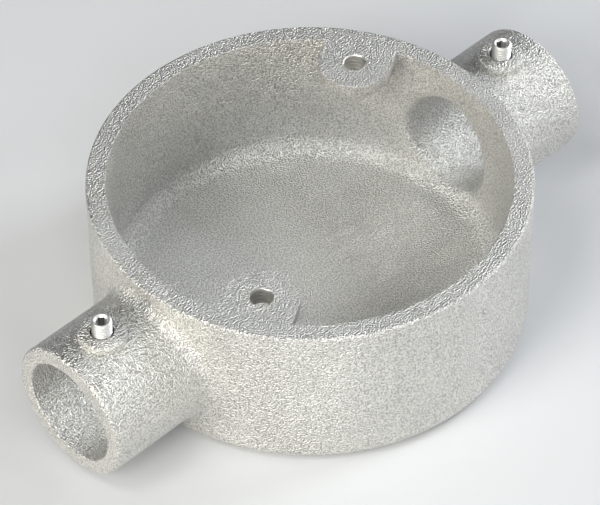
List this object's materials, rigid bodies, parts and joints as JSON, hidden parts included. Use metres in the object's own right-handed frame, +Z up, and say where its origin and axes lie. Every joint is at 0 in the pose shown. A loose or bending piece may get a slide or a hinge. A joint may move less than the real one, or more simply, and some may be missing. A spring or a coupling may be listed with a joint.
{
  "type": "two-way through conduit box",
  "caption": "Round cast conduit box with an open top, a plain spout on either side in one line, grub screws that clamp the conduit, and tapped lugs for a lid.",
  "frame": {"origin": "centre of the flat underside of the base", "axes": "+Z up, out of the open bowl and along the bowl's axis; +X along the line of the two spouts, towards the right spout; +Y across the spouts"},
  "size_m": [0.096, 0.0654, 0.026],
  "materials": {
    "cast_metal": "as cast, pale silver grey with a fine pebbled grain",
    "screw_steel": "bright zinc plated"
  },
  "bodies": {
    "box": {"box_casting": "cast_metal"},
    "left_screw": {"left_grub_screw": "screw_steel"},
    "right_screw": {"right_grub_screw": "screw_steel"}
  },
  "joints": [
    {"name": "left_screw_travel", "type": "slide", "parent": "box", "child": "left_screw", "axis": [0, 0, -1], "range_m": [-0.0015, 0.0023]},
    {"name": "right_screw_travel", "type": "slide", "parent": "box", "child": "right_screw", "axis": [0, 0, -1], "range_m": [-0.0015, 0.0023]}
  ]
}
